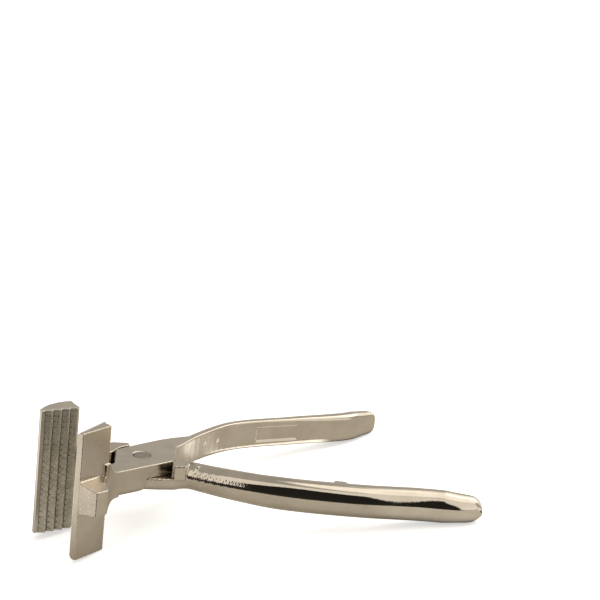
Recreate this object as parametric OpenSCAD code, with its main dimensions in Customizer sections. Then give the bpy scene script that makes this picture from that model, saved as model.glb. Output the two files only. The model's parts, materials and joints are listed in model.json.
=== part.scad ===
/* [Handles] */
// Distance from the pivot to the end of each handle
handle_reach = 163.5; // [150:0.5:180]
// Angle between the two handles as the pliers stand open
open_angle = 47.9; // [44:0.1:52]
// How much shorter the inner jaw's handle is than the outer jaw's
far_trim = 2.4; // [0:0.1:4]
// Width of a handle where it leaves the joint
neck_w = 7.8; // [6:0.1:9]
// Width of a handle at its grip
grip_w = 11.4; // [8:0.1:12.4]
// Height of a handle at its grip
grip_h = 15.3; // [13.4:0.1:17]
// Height of a handle just before its rounded end
tip_h = 12.6; // [11:0.1:13.4]
// Outward bow of the inner jaw's handle
far_bow = 16.4; // [12:0.1:18]
// Outward bow of the outer jaw's handle
near_bow = 11.1; // [9:0.1:16]
// How far the full outer rounding of a handle reaches across it
crown = 7; // [4:0.1:8]
// Rounding of a handle's upper inner edge near the joint
inner_round = 0.8; // [0.4:0.1:1.5]
// Rounding of a handle's lower inner edge, and of both inner edges at the grip's end
palm_round = 3; // [1.5:0.1:3.4]
// Distance from the pivot to the lug on the outer jaw's handle
lug_at = 96; // [80:0.5:115]
// Width of that lug's crest along the handle
lug_crest = 5.5; // [4:0.5:9]
// How far the lug stands out of the handle's inner face
lug_out = 4.5; // [2:0.1:6]

/* [Panel] */
// Distance from the pivot to the middle of the sunk panel
panel_at = 94.6; // [90:0.5:110]
// Length of the sunk panel
panel_len = 23.8; // [18:0.5:32]
// Height of the sunk panel
panel_h = 7.7; // [5:0.1:8]
// Depth of the sunk panel
panel_depth = 0.7; // [0.4:0.1:1.5]

/* [Joint] */
// Thickness of the two crossing halves
body_t = 13; // [11:0.1:13.2]
// Gap between the two lapped faces
lap_gap = 0.1; // [0.06:0.01:0.3]
// Radius of the round lower lap
lap_r = 14.2; // [13.6:0.1:15]
// Gap between a lap and the shoulder round it
shoulder_gap = 0.3; // [0.2:0.05:0.6]
// Distance from the pivot to the straight front edge of the upper lap
front_edge = 13.6; // [12.8:0.1:14.4]
// Distance from the pivot to the straight part of the upper lap's back edge
back_edge = 11.8; // [11.2:0.1:12.2]
// Distance from the pivot to the slanted end of the upper lap
end_edge = 12.2; // [11.6:0.1:12.6]
// Distance from the pivot to the slanted right side of the upper lap
side_edge = 15.4; // [14.8:0.1:16]
// Distance from the pivot to the step behind the lower lap
step_at = 17.6; // [17:0.1:19]
// Distance from the pivot to the crotch between the handles
crotch_r = 22; // [21:0.1:24]
// Radius of the rivet's shank
rivet_r = 3.5; // [2.5:0.1:4]
// Radius of the rivet's flush heads
rivet_head_r = 4.6; // [4.2:0.1:5.5]
// Depth of the cone under each rivet head
rivet_head_t = 2; // [1:0.1:3]
// Radial gap between the rivet and the half that turns on it
rivet_gap = 0.05; // [0.02:0.01:0.1]

/* [Travel] */
// Turn that brings the jaws together
close_angle = 35.2; // [34:0.1:37]
// Turn that is left for opening the pliers further
spare_angle = 4.4; // [3:0.1:6]

/* [Jaws] */
// Width of the jaws, measured along the pivot
jaw_w = 60; // [50:0.5:80]
// Distance along the mouth from the pivot to the heel of the jaws
jaw_start = 30; // [29:0.1:34]
// Length of the jaws from heel to tip
jaw_len = 19; // [18.8:0.1:22]
// Distance from the pivot to the face of the inner jaw
mouth_offset = 5.5; // [5:0.1:7]
// Slant of the inner jaw's face to its own handle
mouth_angle = 23.5; // [22:0.1:26]
// Angle left between the closed jaws, whose tips meet first
jaw_wedge = 5.5; // [3:0.1:7]
// Clearance left between the teeth at the closed tips
jaw_gap = 0.25; // [0.15:0.05:0.6]
// Thickness of the outer jaw at its heel
outer_heel_t = 9.8; // [8.5:0.1:11]
// Thickness of the outer jaw at its tip
outer_tip_t = 2.2; // [1.8:0.1:3]
// Radius of the outer jaw's rounded back
outer_back_r = 22; // [18:0.5:30]
// Thickness of the inner jaw at its heel
inner_heel_t = 6.9; // [6.2:0.1:8]
// Thickness of the inner jaw at its tip
inner_tip_t = 3.5; // [3:0.1:4.5]
// Radius of the hollows that lead from each arm up and down to its jaw
flare_r = 5.5; // [3:0.1:8]

/* [Teeth] */
// Number of ridges across each jaw
teeth = 4; // [3:1:4]
// Distance from one ridge to the next
tooth_pitch = 4.3; // [3.8:0.1:4.3]
// Height of a ridge
tooth_h = 1.5; // [0.8:0.1:1.8]
// Part of the pitch taken by a ridge's long slope
tooth_slope = 0.77; // [0.6:0.01:0.85]
// Flat margin at the outer jaw's tip
tip_margin = 1.6; // [1:0.1:1.7]

/* [Hammer block] */
// How far the block stands out behind the tip of the inner jaw
block_out = 11.5; // [9:0.1:14]
// Height of the block where it leaves the jaw
block_root_h = 14.8; // [14:0.1:18]
// Height of the block at its outer face
block_face_h = 11.4; // [9:0.1:13]
// Length of the block's outer face
block_face = 6.5; // [4:0.1:8]

/* [Hidden] */
half_open = open_angle / 2;
slab = body_t / 2;
lap_z = lap_gap / 2;
merge = 0.4;
side_inset = 0.05;
far_out = 60;
round_steps = 6;
neck_h = body_t - 0.1;
lower_round = 3.4;
root_x = 18;
inner_root_x = 21;
inner_root = 0.5;
grip_len = handle_reach - root_x;
tip_r = tip_h / 2;
tip_x = handle_reach - tip_r;
tip_nose = 4;
nose_narrowing = 0.88;
nose_overhang = 0.0785;
crown_share = 0.48;
swell_shift = 0.667;
tip_steps = 8;
handle_steps = 34;
crown_steps = 9;
palm_steps = 4;
ring_size = 2 * (crown_steps + 1) + 2 * (palm_steps + 1);

// Stations along a handle as parts of its length, and its bow there as parts of the full bow
stations = [0, 0.0412, 0.1718, 0.3574, 0.5979, 0.8179, 0.9622, 1];
far_shape = [0.19, 0.323, 0.744, 1, 0.494, -0.03, -0.034, -0.034];
near_shape = [0.18, 0.315, 0.748, 1.04, 0.797, 0.211, 0.07, 0.056];
station_x = [for (s = stations) root_x + s * grip_len];
far_y = [for (s = far_shape) s * far_bow];
near_y = [for (s = near_shape) s * near_bow];

// Angles of the joint's straight edges
end_turn = 142.6;
back_turn = 93.7;
side_turn = -42;
flank_turn = -75;
crotch_turn = acos(lap_r / crotch_r);
shoulder_turn = end_turn + open_angle - close_angle;
inner_crotch_turn = crotch_turn - open_angle + close_angle;
inner_front_turn = flank_turn - open_angle - spare_angle;
outer_side_turn = side_turn + open_angle - close_angle;
plate_corner_r = norm(crossing(end_turn, end_edge, back_turn, back_edge));

// Jaw faces
tooth_mesh = (2 - 0.5 / tooth_slope) * tooth_h;
slope_len = tooth_slope * tooth_pitch;
drop_len = tooth_pitch - slope_len;
jaw_end = jaw_start + jaw_len;
inner_base = mouth_offset - tooth_h;
outer_offset = cos(jaw_wedge) * (tooth_mesh + jaw_gap + inner_base
    + jaw_end * tan(jaw_wedge) - tip_margin * sin(jaw_wedge));
outer_angle = mouth_angle + jaw_wedge + open_angle - close_angle;
outer_end = (jaw_end - outer_offset * sin(jaw_wedge)) / cos(jaw_wedge);
outer_start = (jaw_start - outer_offset * sin(jaw_wedge)) / cos(jaw_wedge);
outer_first = outer_end - tip_margin;
inner_first = outer_first * cos(jaw_wedge) + outer_offset * sin(jaw_wedge) - tooth_pitch / 2;
inner_last = inner_first - (teeth - 1) * tooth_pitch;
inner_run = inner_last - jaw_start;

// Hammer block
block_u = jaw_end + 0.1;
block_t = inner_tip_t + block_out;
block_lean = 16;
block_heel_u = jaw_start + 7.4;

// Stance: the lower edge of the inner jaw's heel and both handle ends touch the ground
heel_point = turned(mouth_point(mouth_angle, jaw_start + 2.2, mouth_offset - inner_heel_t), half_open);
outer_tip_point = turned(mouth_point(outer_angle, outer_end, outer_offset + outer_tip_t), -half_open);
tip_cx = tip_x * cos(half_open);
stance = tip_cx - heel_point[0];
stance_d = norm([stance, jaw_w / 2]);
stance_a = atan(jaw_w / 2 / stance);
first_tilt = stance_a - asin(tip_r / stance_d);
tip_inner = grip_w / 2 + swell_shift * (grip_w - neck_w) / 2 - palm_round;
tip_low = tip_r + tip_inner * sin(half_open) * sin(first_tilt);
tilt = stance_a - asin(tip_low / stance_d);
pivot_z = tip_cx * sin(tilt) + tip_low;
x_high = tip_cx * cos(tilt) + tip_r * norm([cos(half_open) * cos(tilt), sin(tilt)])
    + nose_overhang * grip_w;
x_low = outer_tip_point[0] * cos(tilt) - jaw_w / 2 * sin(tilt);
pivot_x = -(x_high + x_low) / 2;

// A plan point turned about the pivot
function turned(p, a) = [p[0] * cos(a) - p[1] * sin(a), p[0] * sin(a) + p[1] * cos(a)];

// Plan point at distance u along a mouth line and v beside it
function mouth_point(a, u, v) = turned([-u, v], a);
function inner_point(u, t) = mouth_point(mouth_angle, u, mouth_offset - t);
function outer_point(u, t) = mouth_point(outer_angle, u, outer_offset + t);

// Crossing of two lines, each given by the angle of its normal and its distance
function crossing(a, da, b, db) =
    [(da * sin(b) - db * sin(a)) / sin(b - a), (db * cos(a) - da * cos(b)) / sin(b - a)];

// Points of one rounded corner of a plan outline
function toward(a, b) = (b - a) / norm(b - a);
function heading(v) = atan2(v[1], v[0]);
function short_turn(a) = a > 180 ? a - 360 : a < -180 ? a + 360 : a;
function corner(a, p, b, r) =
    let (ua = toward(p, a), ub = toward(p, b), half = acos(ua * ub) / 2)
    let (c = p + (ua + ub) / norm(ua + ub) * r / sin(half))
    let (from = heading(p + ua * r / tan(half) - c), to = heading(p + ub * r / tan(half) - c))
    [for (i = [0 : round_steps])
        c + turned([r, 0], from + short_turn(to - from) * i / round_steps)];

// Outline with a rounding radius for each of its points
function outline(points, radii) =
    let (n = len(points))
    [for (i = [0 : n - 1])
        each radii[i] == 0 ? [points[i]]
            : corner(points[(i + n - 1) % n], points[i], points[(i + 1) % n], radii[i])];

// Smooth curve through the stations of a handle
function span_of(xs, x, i = 0) = x <= xs[i + 1] || i == len(xs) - 2 ? i : span_of(xs, x, i + 1);
function slope_at(xs, ys, i) =
    let (a = max(i - 1, 0), b = min(i + 1, len(xs) - 1))
    (ys[b] - ys[a]) / (xs[b] - xs[a]);
function curve(xs, ys, x) =
    let (i = span_of(xs, x), w = xs[i + 1] - xs[i], s = (x - xs[i]) / w)
    (1 + 2 * s) * pow(1 - s, 2) * ys[i] + s * pow(1 - s, 2) * w * slope_at(xs, ys, i)
        + s * s * (3 - 2 * s) * ys[i + 1] + s * s * (s - 1) * w * slope_at(xs, ys, i + 1);

// Width of a handle at distance x from the pivot, without and with the narrowing of its nose
function full_width(x) = lookup(x, [[24, neck_w], [60, neck_w], [130, grip_w]]);
function nose(x) = pow(max(x - handle_reach + tip_nose, 0) / tip_nose, 2);
function width_at(x) = full_width(x) * sqrt(1 - nose_narrowing * nose(x));
function nose_shift(x) = (full_width(x) - width_at(x)) / 4;
function height_at(x) = x > tip_x
    ? 2 * sqrt(max(tip_r * tip_r - pow(x - tip_x, 2), 0.64))
    : lookup(x, [[24, neck_h], [66, grip_h], [tip_x - 12, grip_h], [tip_x, tip_h]]);

// Middle line of each handle, which shifts as the handle swells to its grip
function swell(x) = swell_shift * (full_width(x) - neck_w) / 2;
function far_line(x) = curve(station_x, far_y, x) + swell(x);
function near_line(x) = curve(station_x, near_y, x) - swell(x);

// Rounding of the upper and lower inner edges
function upper_round(x) = lookup(x, [[60, inner_round], [100, inner_round + 0.4], [135, palm_round]]);
function foot_round(x) = lookup(x, [[26, inner_round], [60, palm_round]]);

// Quarter of an ellipse round a corner of a ring, from angle a on
function quarter(x, cy, cz, ry, rz, a, n) =
    [for (i = [0 : n]) [x, cy + ry * cos(a + i * 90 / n), cz + rz * sin(a + i * 90 / n)]];

// One ring of points across a handle
function ring(x, y, w, h) =
    let (ry = min(crown, w * 0.7), rz = h * crown_share)
    let (up = min(upper_round(x), w * 0.28, h * 0.3), low = min(foot_round(x), w * 0.28, h * 0.3))
    concat(
        quarter(x, y + w / 2 - ry, -h / 2 + rz, ry, rz, -90, crown_steps),
        quarter(x, y + w / 2 - ry, h / 2 - rz, ry, rz, 0, crown_steps),
        quarter(x, y - w / 2 + up, h / 2 - up, up, up, 90, palm_steps),
        quarter(x, y - w / 2 + low, -h / 2 + low, low, low, 180, palm_steps));

// Faces of a tube of rings closed at both ends
function tube_faces(rings, size) = concat(
    [[for (i = [0 : size - 1]) i]],
    [for (k = [0 : rings - 2], i = [0 : size - 1], side = [0, 1])
        let (a = k * size + i, b = k * size + (i + 1) % size)
        side == 0 ? [a, a + size, b] : [b, a + size, b + size]],
    [[for (i = [size - 1 : -1 : 0]) (rings - 1) * size + i]]);

// Distances of the rings from the pivot
function ring_x(start) = concat(
    [for (i = [0 : handle_steps]) start + (tip_x - start) * i / handle_steps],
    [for (i = [1 : tip_steps]) tip_x + tip_r * sin(i * 90 / tip_steps)]);

// Loft along a handle, whose last part is drawn in by its trim
module handle(line, start, trim) {
    xs = ring_x(start);
    rings = [for (k = [0 : len(xs) - 1])
        let (x = xs[k], in = trim * max(x - 110, 0) / (handle_reach - 110))
        each [for (q = ring(x, line[k] + nose_shift(x), width_at(x), height_at(x))) [q[0] - in, q[1], q[2]]]];
    polyhedron(points = rings, faces = tube_faces(len(xs), ring_size), convexity = 6);
}

// Shallow panel with sloping sides, sunk into the inner face of the inner jaw's handle
module panel_cut() {
    start = panel_at - panel_len / 2;
    xs = [for (i = [0 : 14]) i == 0 ? start : i == 14 ? start + panel_len : start + 1 + (panel_len - 2) * (i - 1) / 12];
    hh = panel_h / 2;
    rings = [for (i = [0 : 14])
        let (x = xs[i], face = far_line(x) - width_at(x) / 2)
        let (floor_y = i == 0 || i == 14 ? face - 0.1 : face + panel_depth)
        each [[x, face - 1, -hh - 1], [x, floor_y, -hh + 1], [x, floor_y, hh - 1], [x, face - 1, hh + 1]]];
    polyhedron(points = rings, faces = tube_faces(15, 4), convexity = 4);
}

// Half plane of plan points beyond distance d in the direction of angle a
module beyond(a, d) {
    rotate(a) translate([d, -far_out]) square([far_out, 2 * far_out]);
}

// Plan of the inner jaw's half: upper lap, arm and root of the handle
module inner_plan() {
    block_side = toward(inner_point(block_heel_u, 7.5), inner_point(block_u - 3.1, block_t + 0.9));
    heel = inner_point(block_heel_u, 7.5);
    arm_corner = heel + block_side * (-front_edge - heel[1]) / block_side[1];
    handle_y = curve(station_x, far_y, 30);
    polygon(outline([
        crossing(-90, front_edge, side_turn, side_edge),
        [inner_root_x, inner_root],
        [30, handle_y - neck_w / 2 + merge],
        [38, curve(station_x, far_y, 38)],
        [27, back_edge + 0.8],
        [20.5, back_edge + 1.3],
        [8, back_edge + 0.8],
        crossing(end_turn, end_edge, back_turn, back_edge),
        crossing(end_turn, end_edge, -154, 16.9),
        inner_point(jaw_start + merge, merge),
        inner_point(jaw_start + 12, inner_tip_t),
        arm_corner + block_side * 9.4,
        arm_corner
    ], [0, 0, 0, 0, 6, 6, 6, 0.4, 1, 0, 0, 0, 13]));
}

// Plan of the parts of that half that reach the full thickness
module inner_thick_plan() {
    difference() {
        intersection() {
            inner_plan();
            translate([-2 * far_out, -far_out]) square([2 * far_out - 2, 2 * far_out]);
        }
        circle(r = lap_r + shoulder_gap, $fn = 96);
        rotate(inner_front_turn) translate([-far_out, 0]) square([far_out + lap_r + shoulder_gap, far_out]);
    }
    intersection() {
        inner_plan();
        beyond(inner_crotch_turn, lap_r + shoulder_gap);
        beyond(0, 2);
    }
}

// Section of the inner jaw across its width, along x towards the pivot and y out of its face
module inner_jaw_plan() {
    last = inner_run > tooth_pitch
        ? [[-(inner_last - slope_len), 0], [-(inner_last - tooth_pitch), tooth_h], [-jaw_start, tooth_h]]
        : inner_run > slope_len
        ? [[-(inner_last - slope_len), 0], [-jaw_start, tooth_h * (inner_run - slope_len) / drop_len]]
        : [[-jaw_start, tooth_h * (1 - inner_run / slope_len)]];
    face = concat(
        [[-jaw_end, 0]],
        [for (k = [0 : teeth - 1], side = [0, 1])
            let (u = inner_first - k * tooth_pitch)
            side == 0 ? [-(u + drop_len), 0] : [-u, tooth_h]],
        last);
    translate([0, mouth_offset])
        polygon(concat(
            [for (p = face) [p[0], -p[1]]],
            [[-jaw_start - 2.2, -inner_heel_t], [-jaw_end - 0.8, -inner_tip_t]]));
}

// Section of the outer jaw across its width, in the same directions
module outer_jaw_plan() {
    tip = [-outer_end, outer_tip_t];
    heel = [-outer_start + 0.5, outer_heel_t];
    across = heel - tip;
    drop = sqrt(pow(outer_back_r, 2) - pow(norm(across) / 2, 2));
    center = (tip + heel) / 2 + turned(across / norm(across), -90) * drop;
    face = concat(
        [for (k = [0 : teeth - 1], side = [0, 1])
            let (u = outer_first - k * tooth_pitch)
            side == 0 ? [-u, 0] : [-(u - slope_len), -tooth_h]],
        [[-(outer_first - teeth * tooth_pitch), 0]]);
    translate([0, outer_offset])
        intersection() {
            translate(center) circle(r = outer_back_r, $fn = 96);
            polygon(concat(
                [[-outer_end, 0]],
                face,
                [[-outer_start, 0], [-outer_start + 0.5, outer_heel_t - 0.5],
                    [-outer_start, outer_heel_t + 3], [-outer_end, outer_heel_t + 3]]));
        }
}

// Side view of an arm that hollows out to the height of its jaw
module flare_profile(heel_u) {
    from = heel_u + merge - flare_r;
    rise = [for (i = [0 : round_steps])
        [from + flare_r * sin(i * 90 / round_steps), slab + flare_r * (1 - cos(i * 90 / round_steps))]];
    polygon(concat(
        [[-from + 1, -slab], [-from + 1, slab]],
        [for (p = rise) [-p[0], p[1]]],
        [[-heel_u - 4, slab + flare_r], [-heel_u - 4, -slab - flare_r]],
        [for (i = [round_steps : -1 : 0]) [-rise[i][0], -rise[i][1]]]));
}

// Part of an arm plan raised to the flare, seen in the frame of a mouth at angle a
module flare(heel_u, a) {
    intersection() {
        linear_extrude(height = jaw_w, center = true) children();
        rotate([0, 0, a]) rotate([90, 0, 0]) linear_extrude(height = 2 * far_out, center = true) flare_profile(heel_u);
    }
}

// Block behind the inner jaw, lower at its outer face than at its root
module hammer_block() {
    lean = [cos(block_lean), sin(block_lean)] * block_face / 2;
    root_t = 4;
    intersection() {
        linear_extrude(height = jaw_w, center = true)
            polygon([
                inner_point(block_heel_u, 2),
                inner_point(jaw_end - 0.5, 2),
                inner_point(block_u + 1.8, inner_tip_t + 0.6),
                inner_point(block_u + lean[0], block_t - lean[1]),
                inner_point(block_u - lean[0], block_t + lean[1]),
                inner_point(block_heel_u, 7.5)
            ]);
        rotate([0, 0, mouth_angle]) rotate([90, 0, 90]) linear_extrude(height = 4 * far_out, center = true)
            polygon([
                [mouth_offset - root_t, block_root_h / 2],
                [mouth_offset - block_t - 2, block_face_h / 2 - 0.3],
                [mouth_offset - block_t - 2, 0.3 - block_face_h / 2],
                [mouth_offset - root_t, -block_root_h / 2],
                [mouth_offset, -block_root_h / 2],
                [mouth_offset, block_root_h / 2]
            ]);
    }
}

// Hole for the rivet with a cone for each of its heads
module rivet_hole(gap) {
    rotate_extrude($fn = 64)
        polygon([
            [0, -slab - 1],
            [rivet_head_r + gap, -slab - 1],
            [rivet_head_r + gap, -slab],
            [rivet_r + gap, -slab + rivet_head_t],
            [rivet_r + gap, slab - rivet_head_t],
            [rivet_head_r + gap, slab],
            [rivet_head_r + gap, slab + 1],
            [0, slab + 1]
        ]);
}

// Waste outside a rounded lower edge, with the wall at zero and the waste towards positive x
module edge_waste() {
    steps = [for (i = [0 : round_steps]) i * 90 / round_steps];
    polygon(concat(
        [[1, -slab - 1], [1, -slab + lower_round]],
        [for (a = steps) [-lower_round + lower_round * cos(a), -slab + lower_round - lower_round * sin(a)]],
        [[-lower_round, -slab - 1]]));
}

// The same waste along a straight wall whose normal points at angle a
module straight_waste(a, d, from, to) {
    rotate([0, 0, a]) translate([d, to, 0]) rotate([90, 0, 0])
        linear_extrude(height = to - from) edge_waste();
}

// The same waste round a round wall
module round_waste(r, from, turn) {
    rotate([0, 0, from]) rotate_extrude(angle = turn, $fn = 96) translate([r, 0]) edge_waste();
}

// Far casting: handle, upper lap, inner jaw and hammer block
module inner_casting() {
    difference() {
        union() {
            translate([0, 0, lap_z]) linear_extrude(height = slab - lap_z) inner_plan();
            difference() {
                translate([0, 0, -slab]) linear_extrude(height = body_t - merge) inner_thick_plan();
                straight_waste(-90, front_edge, -24, 0);
            }
            flare(jaw_start + 1, mouth_angle) intersection() {
                inner_plan();
                beyond(180, 16);
            }
            rotate([0, 0, mouth_angle]) linear_extrude(height = jaw_w, center = true) inner_jaw_plan();
            hammer_block();
            handle([for (x = ring_x(inner_root_x + 1)) far_line(x)], inner_root_x + 1, far_trim);
        }
        rivet_hole(0);
        panel_cut();
    }
}

// Plan of the arm and lug of the outer jaw's half
module outer_arm_plan() {
    polygon(outline([
        [-6.5, 8.5],
        [-9.6, 13.9],
        [-17.4, 11.8],
        outer_point(outer_start - 0.3, outer_heel_t - 0.6),
        outer_point(outer_start + 3, outer_heel_t - 1.2),
        outer_point(outer_start + 3, merge + 0.5),
        outer_point(outer_start + 0.2, merge),
        [-14.4, -1.4]
    ], [0, 1.5, 5, 0, 0, 0, 0, 1]));
}

// Plan of the root of the outer jaw's handle
module outer_root_plan() {
    flank = turned([lap_r - side_inset, 0], flank_turn);
    crotch = turned([lap_r - side_inset, 0], crotch_turn);
    near_in = -curve(station_x, near_y, 32) + neck_w / 2 - merge;
    polygon(outline([
        [0, 0],
        flank,
        [23.4, flank[1] + (23.4 - flank[0]) * tan(flank_turn + 90)],
        [30, -curve(station_x, near_y, 30)],
        [32, near_in],
        [crotch_r, 0],
        crotch
    ], [0, 0, 0, 0, 0, 6, 0]));
}

// Near casting: handle, lower lap, lug and outer jaw
module outer_casting() {
    difference() {
        union() {
            difference() {
                union() {
                    translate([0, 0, -slab]) linear_extrude(height = slab - lap_z) union() {
                        circle(r = lap_r, $fn = 96);
                        outer_root_plan();
                    }
                    translate([0, 0, -slab]) linear_extrude(height = body_t) intersection() {
                        outer_root_plan();
                        beyond(0, step_at);
                        beyond(outer_side_turn, side_edge + shoulder_gap);
                    }
                }
                straight_waste(flank_turn, lap_r - side_inset, -2, 26);
                round_waste(lap_r, flank_turn - 95, 100);
            }
            translate([0, 0, -slab]) linear_extrude(height = slab - lap_z) outer_arm_plan();
            translate([0, 0, -slab]) linear_extrude(height = body_t) difference() {
                intersection() {
                    outer_arm_plan();
                    beyond(shoulder_turn, end_edge + shoulder_gap);
                }
                circle(r = plate_corner_r + shoulder_gap, $fn = 96);
            }
            flare(outer_start, outer_angle) intersection() {
                outer_arm_plan();
                beyond(180, 16);
            }
            rotate([0, 0, outer_angle]) linear_extrude(height = jaw_w, center = true) outer_jaw_plan();
            mirror([0, 1, 0]) handle([for (x = ring_x(crotch_r + 0.5)) near_line(x)], crotch_r + 0.5, 0);
            handle_lug();
        }
        rivet_hole(rivet_gap);
    }
}

// Low lug on the inner face of the outer jaw's handle
module handle_lug() {
    x = lug_at;
    face = -near_line(x) + width_at(x) / 2;
    lean = atan((near_line(x - 4) - near_line(x + 4)) / 8);
    c = lug_crest / 2;
    translate([x, face]) rotate(lean)
        linear_extrude(height = height_at(x) - 2 * upper_round(x), center = true)
            polygon(outline([
                [-c - 5, -1.5],
                [-c - 5, -0.4],
                [-c - 1.6, -0.1],
                [-c, lug_out],
                [c, lug_out],
                [c + 1.6, -0.1],
                [c + 5, -0.4],
                [c + 5, -1.5]
            ], [0, 0, 2, 1.3, 1.3, 2, 0, 0]));
}

// Rivet with a flush cone head at both ends and a small bevel round each head
module rivet() {
    bevel = 0.25;
    rotate_extrude($fn = 64)
        polygon([
            [0, -slab],
            [rivet_head_r - bevel, -slab],
            [rivet_head_r - bevel / 2, -slab + bevel / 2],
            [rivet_r, -slab + rivet_head_t],
            [rivet_r, slab - rivet_head_t],
            [rivet_head_r - bevel / 2, slab - bevel / 2],
            [rivet_head_r - bevel, slab],
            [0, slab]
        ]);
}

// Tilts the pliers onto their jaw edge and handle ends, centred over the origin
module set_down() {
    translate([pivot_x, 0, pivot_z]) rotate([0, tilt, 0]) children();
}

module inner_jaw_half() {
    color([0.78, 0.77, 0.75]) set_down() rotate([0, 0, half_open]) inner_casting();
}

module outer_jaw_half() {
    color([0.72, 0.71, 0.69]) set_down() rotate([0, 0, -half_open]) outer_casting();
}

module pivot_rivet() {
    color([0.6, 0.6, 0.6]) set_down() rivet();
}

inner_jaw_half();
outer_jaw_half();
pivot_rivet();
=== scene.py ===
import json
import math
from collections import namedtuple

import bpy
import numpy as np
from mathutils import Matrix, Vector


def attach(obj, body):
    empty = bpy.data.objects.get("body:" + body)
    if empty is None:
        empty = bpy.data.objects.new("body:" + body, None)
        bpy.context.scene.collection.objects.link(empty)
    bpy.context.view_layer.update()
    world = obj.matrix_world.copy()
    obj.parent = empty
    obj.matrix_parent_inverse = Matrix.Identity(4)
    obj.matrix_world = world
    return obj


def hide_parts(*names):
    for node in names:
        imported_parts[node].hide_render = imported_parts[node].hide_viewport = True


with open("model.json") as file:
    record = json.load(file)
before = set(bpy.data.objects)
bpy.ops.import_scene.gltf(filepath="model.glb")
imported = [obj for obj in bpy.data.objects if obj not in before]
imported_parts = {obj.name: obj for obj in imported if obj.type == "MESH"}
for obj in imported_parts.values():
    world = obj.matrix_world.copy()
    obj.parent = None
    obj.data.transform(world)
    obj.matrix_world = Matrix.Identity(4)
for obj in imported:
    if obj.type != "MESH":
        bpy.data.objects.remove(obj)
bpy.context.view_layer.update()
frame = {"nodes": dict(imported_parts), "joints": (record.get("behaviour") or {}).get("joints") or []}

scene = bpy.context.scene
scene.view_settings.view_transform = "Standard"

# Camera, worked out from the photograph's perspective. The picture is 600 by 600.
eye = Vector((-0.14737904, -0.53869786, 0.25661135))
right = Vector((0.94468226, -0.32700587, -0.02534919))
up = Vector((0.10978468, 0.2424318, 0.9639368))
forward = Vector((0.30906754, 0.91339695, -0.26492126))
camera_data = bpy.data.cameras.new("camera")
camera_data.lens = 73.25
camera_data.sensor_width = 36.0
camera_data.clip_start = 0.02
camera = bpy.data.objects.new("camera", camera_data)
turn = Matrix((right, up, -forward)).transposed().to_4x4()
camera.matrix_world = Matrix.Translation(eye) @ turn
scene.collection.objects.link(camera)
scene.camera = camera

# Where the tool lies. Each half is worked out in millimetres round the rivet, with x along
# its handle and z along the rivet, then turned by half the opening and tilted onto the floor.
MM = 1000
joint = frame["joints"][0]
pivot = np.array(joint["pos_m"]) * MM
tilt = math.atan2(joint["axis"][0], joint["axis"][2])


def spun(points, degrees):
    """Points turned about the rivet's axis."""
    a = math.radians(degrees)
    x, y = points[:, 0], points[:, 1]
    return np.column_stack((
        x * math.cos(a) - y * math.sin(a),
        x * math.sin(a) + y * math.cos(a),
        points[:, 2]))


def placed(points, degrees):
    """Points in a half's own millimetres to metres in the frame."""
    x, y, z = spun(np.asarray(points, float), degrees).T
    return np.column_stack((
        pivot[0] + x * math.cos(tilt) + z * math.sin(tilt),
        pivot[1] + y,
        pivot[2] - x * math.sin(tilt) + z * math.cos(tilt))) / MM


def local_direction(v, degrees):
    """Directions in the frame to a half's own."""
    untilted = np.column_stack((
        v[:, 0] * math.cos(tilt) - v[:, 2] * math.sin(tilt),
        v[:, 1],
        v[:, 0] * math.sin(tilt) + v[:, 2] * math.cos(tilt)))
    return spun(untilted, -degrees)


def local(points, degrees):
    """Points in metres in the frame to a half's own millimetres."""
    return local_direction(np.asarray(points, float) * MM - pivot, degrees)


def smoothstep(low, high, x):
    t = np.clip((np.asarray(x, float) - low) / (high - low), 0, 1)
    return t * t * (3 - 2 * t)


def between(x, rise, fall):
    """1 inside a stretch, eased in over the rise and out over the fall."""
    return smoothstep(*rise, x) * smoothstep(*fall, x)


# ---- handles ----
NECK_W, GRIP_W = 7.8, 11.4
NECK_H, GRIP_H = 12.9, 15.3
WIDTH_X = (24, 60, 130)  # neck, neck, full grip
TIP_R, TIP_X, REACH = 6.3, 157.2, 163.5
LEAST_TIP = 0.64  # square of the smallest half height at the very tip
HEIGHT_X = (24, 66, TIP_X - 12, TIP_X)
HEIGHT_BLEND = 9  # the height is averaged over this much to either side
NOSE, NOSE_CUT = 4.0, 0.88
GROWTH = 0.667  # how far a grip's extra width shifts its middle line
TRIM_X = 110  # from here on a handle's trim draws it in
ROUND_MOST, ROUND_W, ROUND_H = 7, 0.7, 0.48  # the outer side is one full round
EDGE_W, EDGE_H = 0.28, 0.3  # the most an edge of the flat inner side takes of width and height
UPPER_EDGE = ((60, 100, 135), (0.8, 1.2, 3))
LOWER_EDGE = ((26, 60), (0.8, 3))
BODY_RINGS, TIP_RINGS = 180, 30
ROUND_STEPS, EDGE_STEPS = 22, 9

# Middle lines: x of the stations, and how far out each handle is there
STATIONS = 18 + 145.5 * np.array([0, 0.0412, 0.1718, 0.3574, 0.5979, 0.8179, 0.9622, 1])
FAR_Y = 16.4 * np.array([0.19, 0.323, 0.744, 1, 0.494, -0.03, -0.034, -0.034])
NEAR_Y = 11.1 * np.array([0.18, 0.315, 0.748, 1.04, 0.797, 0.211, 0.07, 0.056])


def full_width(x):
    return np.interp(x, WIDTH_X, (NECK_W, NECK_W, GRIP_W))


def width_at(x):
    nose = (max(x - REACH + NOSE, 0) / NOSE) ** 2
    return full_width(x) * math.sqrt(1 - NOSE_CUT * min(nose, 1))


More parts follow.
